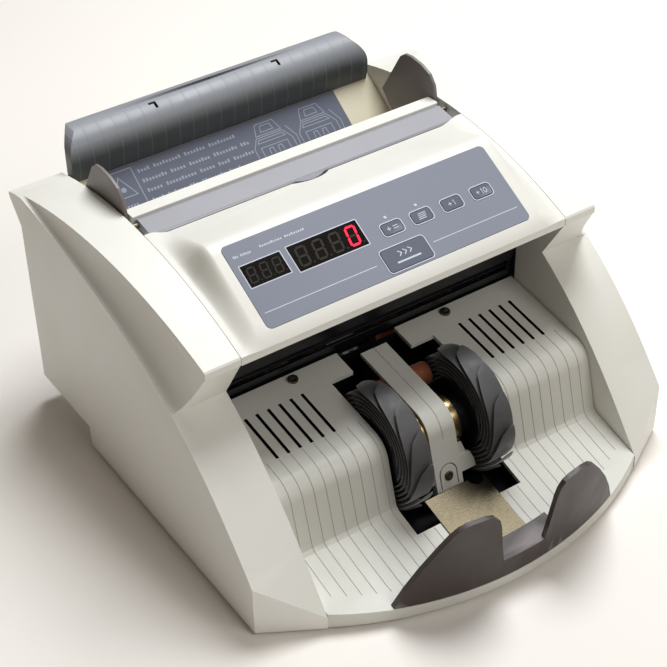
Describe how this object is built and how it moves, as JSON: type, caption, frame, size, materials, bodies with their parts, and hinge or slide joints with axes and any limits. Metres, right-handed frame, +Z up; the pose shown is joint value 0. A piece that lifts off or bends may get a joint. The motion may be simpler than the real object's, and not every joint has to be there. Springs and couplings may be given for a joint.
{
  "type": "banknote counting machine",
  "caption": "Desktop banknote counting machine with a rear hopper, sloping control panel, paddle stacker wheels and an open front tray with a note stop.",
  "frame": {"origin": "middle of the footprint, on the surface the machine stands on", "axes": "+X to the user's right, the machine is symmetric about X = 0; -Y is the front, with the note tray; +Z up"},
  "size_m": [0.27, 0.3073, 0.167],
  "materials": {
    "casing_cream": "warm white moulded, fine texture",
    "label_grey": "printed overlay, satin",
    "display_window": "dark tinted acrylic",
    "circuit_board": "solder mask",
    "key_grey": "embossed overlay, satin",
    "screw_steel": "plated",
    "sensor_brass": "polished",
    "stop_mauve": "grey-brown moulded, satin",
    "black_plastic": "black moulded",
    "wheel_rubber": "matt",
    "feed_rubber": "orange-brown, matt",
    "shaft_steel": "turned",
    "pulley_plastic": "moulded",
    "sheet_steel": "zinc-plated sheet",
    "hopper_dark": "dark grey moulded, ribbed",
    "instruction_label": "printed overlay",
    "flap_grey": "grey moulded, satin",
    "rocker_red": "moulded"
  },
  "bodies": {
    "casing": {"base_pan": "casing_cream", "left_side_housing": "casing_cream", "right_side_housing": "casing_cream", "control_cover": "casing_cream", "control_label": "label_grey", "display_windows": "display_window", "display_board": "circuit_board", "stacker_plate": "casing_cream", "centre_strap": "casing_cream", "tray_screws": "screw_steel", "sensor_plate": "sensor_brass", "note_stop": "stop_mauve", "exit_guide": "black_plastic", "pressure_rod": "shaft_steel", "retard_rollers": "wheel_rubber", "retard_bracket": "shaft_steel", "shaft_bushes": "sensor_brass", "left_frame_plate": "sheet_steel", "right_frame_plate": "sheet_steel", "tie_rods": "black_plastic", "main_motor": "sheet_steel", "drive_belts": "wheel_rubber", "power_supply": "sheet_steel", "main_board": "circuit_board", "hopper_plate": "casing_cream", "hopper_label": "instruction_label", "hopper_back": "hopper_dark", "left_note_guide": "stop_mauve", "right_note_guide": "stop_mauve", "flap_pins": "screw_steel", "rear_cover": "casing_cream", "power_inlet": "black_plastic", "power_switch": "black_plastic", "rubber_feet": "wheel_rubber", "base_screws": "screw_steel"},
    "stacker": {"left_stacker_wheel": "wheel_rubber", "right_stacker_wheel": "wheel_rubber", "stacker_shaft": "shaft_steel", "wheel_hubs": "sensor_brass", "stacker_pulley": "pulley_plastic"},
    "transport": {"transport_shaft": "shaft_steel", "transport_rollers": "feed_rubber", "transport_pulley": "pulley_plastic"},
    "feed": {"feed_shaft": "shaft_steel", "feed_rollers": "feed_rubber", "feed_pulley": "pulley_plastic"},
    "pickup": {"pickup_shaft": "shaft_steel", "pickup_rollers": "wheel_rubber", "pickup_pulley": "pulley_plastic"},
    "motor_rotor": {"motor_pulley": "shaft_steel"},
    "pressure_rollers": {"pressure_rollers": "wheel_rubber"},
    "exit_rollers": {"exit_rollers": "feed_rubber"},
    "gap_screw": {"gap_screw": "sensor_brass"},
    "guide_flap": {"guide_flap": "flap_grey"},
    "key_add": {"key_add": "key_grey"},
    "key_batch": {"key_batch": "key_grey"},
    "key_plus_one": {"key_plus_one": "key_grey"},
    "key_plus_ten": {"key_plus_ten": "key_grey"},
    "key_start": {"key_start": "key_grey"},
    "power_rocker": {"power_rocker": "rocker_red"}
  },
  "joints": [
    {"name": "feed_spin", "type": "hinge", "parent": "casing", "child": "feed", "pos_m": [0, 0.05767, 0.076], "axis": [1, 0, 0], "continuous": true},
    {"name": "stacker_spin", "type": "hinge", "parent": "casing", "child": "stacker", "pos_m": [0, -0.06574, 0.0434], "axis": [1, 0, 0], "continuous": true},
    {"name": "transport_spin", "type": "hinge", "parent": "casing", "child": "transport", "pos_m": [0, 0.01367, 0.048], "axis": [1, 0, 0], "continuous": true},
    {"name": "pickup_spin", "type": "hinge", "parent": "casing", "child": "pickup", "pos_m": [0, 0.09936, 0.0939], "axis": [1, 0, 0], "continuous": true},
    {"name": "motor_spin", "type": "hinge", "parent": "casing", "child": "motor_rotor", "pos_m": [0, 0.04566, 0.032], "axis": [1, 0, 0], "continuous": true},
    {"name": "pressure_spin", "type": "hinge", "parent": "casing", "child": "pressure_rollers", "pos_m": [0, 0.03295, 0.067], "axis": [1, 0, 0], "continuous": true},
    {"name": "exit_spin", "type": "hinge", "parent": "casing", "child": "exit_rollers", "pos_m": [0, -0.04034, 0.056], "axis": [1, 0, 0], "continuous": true},
    {"name": "gap_screw_turn", "type": "hinge", "parent": "casing", "child": "gap_screw", "pos_m": [0, 0.04367, 0.124], "axis": [0, 0, 1], "range_deg": [-180, 180]},
    {"name": "flap_hinge", "type": "hinge", "parent": "casing", "child": "guide_flap", "pos_m": [0, 0.05586, 0.1466], "axis": [-1, 0, 0], "range_deg": [0, 75]},
    {"name": "key_add_press", "type": "slide", "parent": "casing", "child": "key_add", "axis": [0, 0.4664, -0.8846], "range_m": [0, 0.0005], "stiffness_N_per_m": 600, "springref_m": -0.0002},
    {"name": "key_batch_press", "type": "slide", "parent": "casing", "child": "key_batch", "axis": [0, 0.4664, -0.8846], "range_m": [0, 0.0005], "stiffness_N_per_m": 600, "springref_m": -0.0002},
    {"name": "key_plus_one_press", "type": "slide", "parent": "casing", "child": "key_plus_one", "axis": [0, 0.4664, -0.8846], "range_m": [0, 0.0005], "stiffness_N_per_m": 600, "springref_m": -0.0002},
    {"name": "key_plus_ten_press", "type": "slide", "parent": "casing", "child": "key_plus_ten", "axis": [0, 0.4664, -0.8846], "range_m": [0, 0.0005], "stiffness_N_per_m": 600, "springref_m": -0.0002},
    {"name": "key_start_press", "type": "slide", "parent": "casing", "child": "key_start", "axis": [0, 0.4664, -0.8846], "range_m": [0, 0.0005], "stiffness_N_per_m": 600, "springref_m": -0.0002},
    {"name": "power_rocker_tilt", "type": "hinge", "parent": "casing", "child": "power_rocker", "pos_m": [-0.026, 0.1228, 0.042], "axis": [1, 0, 0], "range_deg": [0, 16]}
  ],
  "couplings": [
    {"joint": "stacker_spin", "follows": "feed_spin", "ratio": 0.8},
    {"joint": "transport_spin", "follows": "feed_spin", "ratio": 1.5},
    {"joint": "pickup_spin", "follows": "feed_spin", "ratio": 1},
    {"joint": "motor_spin", "follows": "feed_spin", "ratio": 1.5},
    {"joint": "pressure_spin", "follows": "feed_spin", "ratio": -3.3333},
    {"joint": "exit_spin", "follows": "feed_spin", "ratio": 3.0769}
  ]
}
